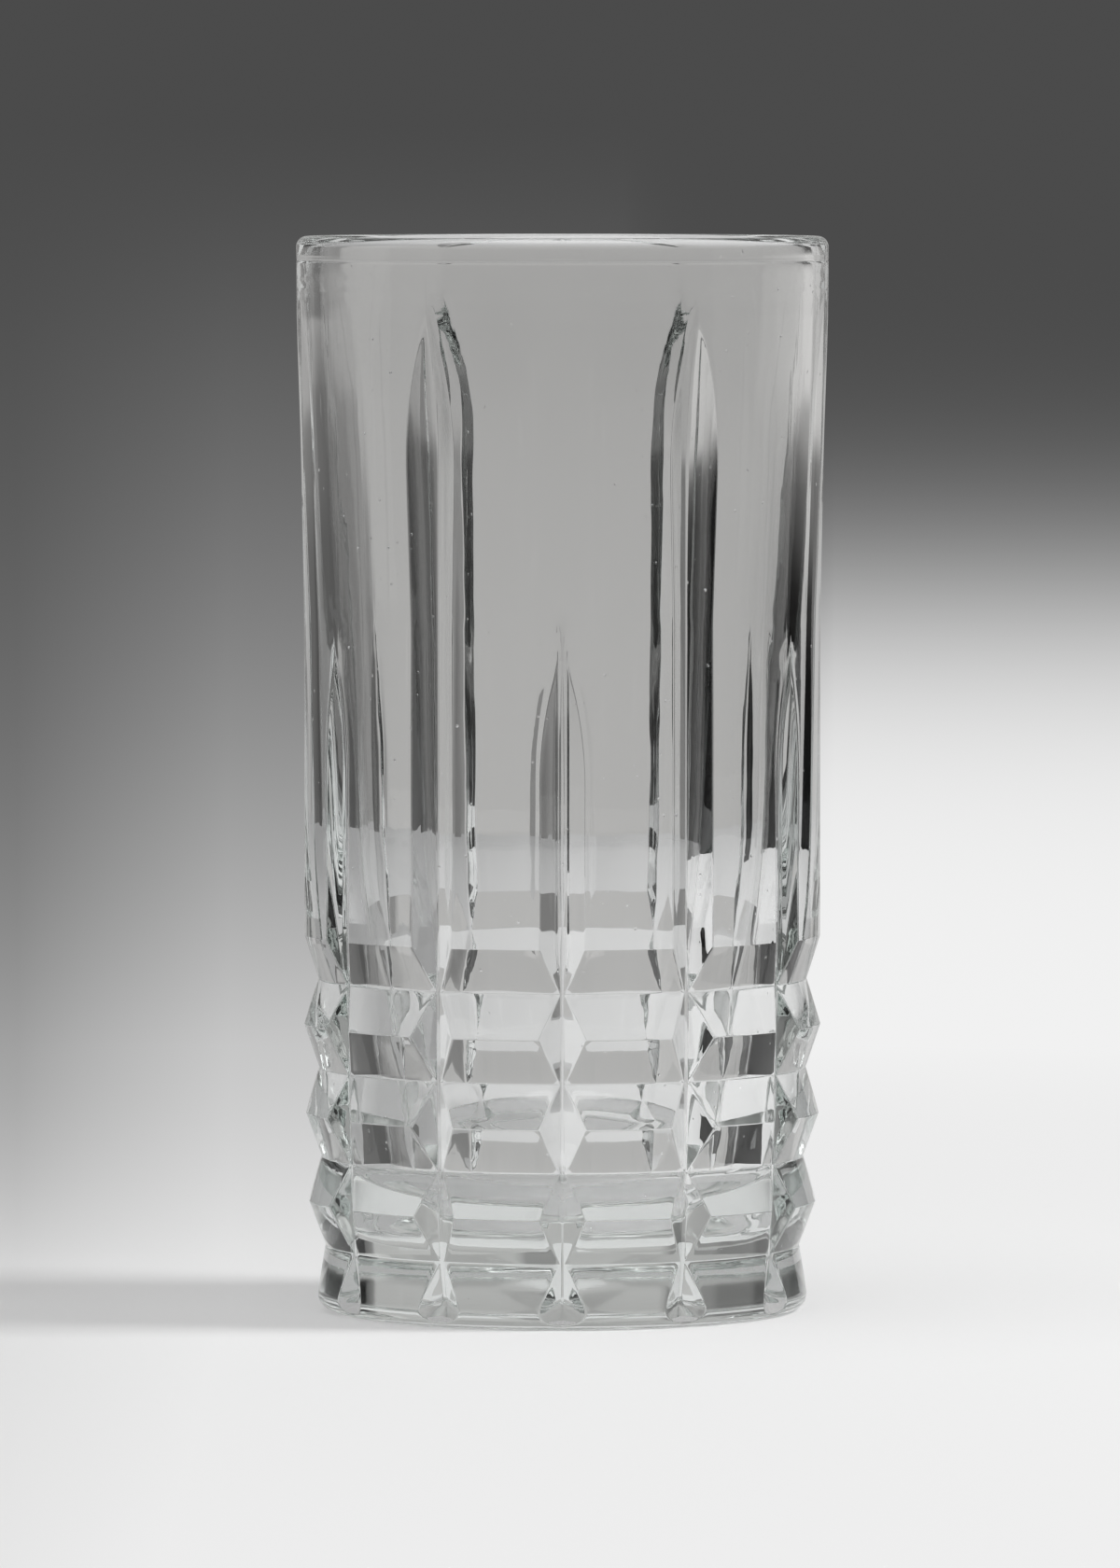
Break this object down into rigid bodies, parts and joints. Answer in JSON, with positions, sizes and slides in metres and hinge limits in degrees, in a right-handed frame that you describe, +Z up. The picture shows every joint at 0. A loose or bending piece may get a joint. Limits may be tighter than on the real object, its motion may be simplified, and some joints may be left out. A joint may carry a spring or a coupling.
{
  "type": "highball glass",
  "caption": "Tall tumbler of clear pressed glass with a rounded lip, lancet flutes up the wall, a band of hip-roofed diamond blocks and a thick flared base.",
  "frame": {"origin": "on the table plane under the middle of the foot ring, which is the middle of the bottom of the bounding box", "axes": "+Z up along the axis of the glass towards its mouth; -Y is the side in the picture, with a short flute facing -Y"},
  "size_m": [0.075, 0.075, 0.1515],
  "materials": {
    "clear_glass": "fire-polished clear soda-lime glass, smooth and glossy inside and out"
  },
  "bodies": {
    "root": {"tumbler": "clear_glass"}
  },
  "joints": []
}
